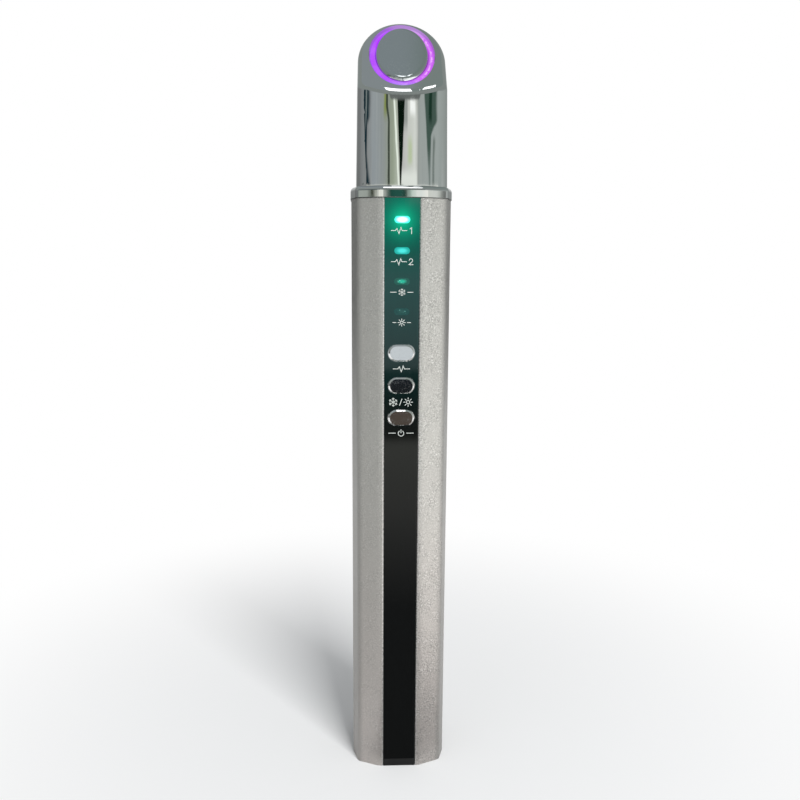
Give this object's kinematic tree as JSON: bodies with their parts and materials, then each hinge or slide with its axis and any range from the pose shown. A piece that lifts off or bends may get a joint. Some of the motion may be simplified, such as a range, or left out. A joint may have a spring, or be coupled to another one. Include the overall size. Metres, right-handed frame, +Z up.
{
  "type": "heated eye massager wand",
  "caption": "Slim handheld eye massager wand: faceted metal body with a black button strip, plated head with a heated slanted contact plate inside a light ring.",
  "frame": {"origin": "middle of the base, on the surface that the upright wand stands on", "axes": "+Z up along the wand from base to head, the button strip faces -Y, +X to the right seen from the front"},
  "size_m": [0.0204, 0.0175, 0.1557],
  "materials": {
    "sleeve": "fine sand-blasted champagne silver, anodised aluminium",
    "panel": "glossy black strip with pale printed symbols",
    "end_cap": "fine matte grey moulding",
    "plated": "bright plated",
    "contact_plate": "polished stainless steel",
    "light_ring": "milky light guide that glows violet",
    "button": "bright plated, bevelled rim",
    "window": "tinted translucent green light pipe",
    "diode": "small surface-mount diodes",
    "frame": "moulded black nylon",
    "shield": "white light baffle",
    "board": "solder mask over glass fibre",
    "flex_board": "amber flexible circuit",
    "switch": "moulded housing with metal cover",
    "plunger": "moulded plunger",
    "chip": "moulded epoxy",
    "coil": "enamelled copper winding",
    "capacitor": "drawn can",
    "spring": "gold-flashed spring strip",
    "screw": "zinc-plated",
    "battery": "laminated foil pouch",
    "foam": "closed-cell foam",
    "tab": "nickel",
    "red_lead": "silicone insulation",
    "black_lead": "silicone insulation",
    "white_lead": "silicone insulation",
    "socket": "drawn stainless shell",
    "tongue": "glass-filled nylon",
    "rubber": "soft silicone",
    "motor": "drawn can",
    "shaft": "ground steel",
    "weight": "sintered tungsten",
    "heat_sink": "bare extruded",
    "ceramic": "alumina",
    "pellet": "semiconductor pellets",
    "sensor": "epoxy bead"
  },
  "bodies": {
    "wand": {"battery_cell": "battery", "battery_negative_lead": "black_lead", "battery_pad": "foam", "battery_positive_lead": "red_lead", "battery_tabs": "tab", "board_capacitors": "capacitor", "board_screws": "screw", "body_sleeve": "sleeve", "charger_chip": "chip", "collar": "plated", "contact_plate": "contact_plate", "controller_chip": "chip", "cool_led": "diode", "cool_window": "window", "cooler_cold_plate": "ceramic", "cooler_hot_plate": "ceramic", "cooler_leads": "white_lead", "cooler_pellets": "pellet", "end_cap": "end_cap", "front_panel": "panel", "head_gasket": "rubber", "head_shell": "plated", "heat_sink": "heat_sink", "inner_frame": "frame", "light_ring": "light_ring", "light_shield": "shield", "main_board": "board", "motor_can": "motor", "motor_holder": "rubber", "motor_leads": "white_lead", "power_switch": "switch", "pulse_coil": "coil", "pulse_high_led": "diode", "pulse_high_window": "window", "pulse_low_led": "diode", "pulse_low_window": "window", "pulse_switch": "switch", "ring_leds": "diode", "ring_light_board": "flex_board", "ring_light_leads": "white_lead", "sleeve_contact_spring": "spring", "temperature_sensor": "sensor", "temperature_switch": "switch", "tip_carrier": "frame", "usb_socket_shell": "socket", "usb_socket_tongue": "tongue", "warm_led": "diode", "warm_window": "window"},
    "pulse_key": {"pulse_button": "button", "pulse_switch_plunger": "plunger"},
    "temperature_key": {"temperature_button": "button", "temperature_switch_plunger": "plunger"},
    "power_key": {"power_button": "button", "power_switch_plunger": "plunger"},
    "motor_rotor": {"motor_shaft": "shaft", "eccentric_weight": "weight"}
  },
  "joints": [
    {"name": "pulse_press", "type": "slide", "parent": "wand", "child": "pulse_key", "axis": [0, 1, 0], "range_m": [0, 0.0004], "stiffness_N_per_m": 600},
    {"name": "temperature_press", "type": "slide", "parent": "wand", "child": "temperature_key", "axis": [0, 1, 0], "range_m": [0, 0.0004], "stiffness_N_per_m": 600},
    {"name": "power_press", "type": "slide", "parent": "wand", "child": "power_key", "axis": [0, 1, 0], "range_m": [0, 0.0004], "stiffness_N_per_m": 600},
    {"name": "motor_spin", "type": "hinge", "parent": "wand", "child": "motor_rotor", "pos_m": [0, 0.0008, 0.1242], "axis": [0, 0, 1], "continuous": true}
  ]
}
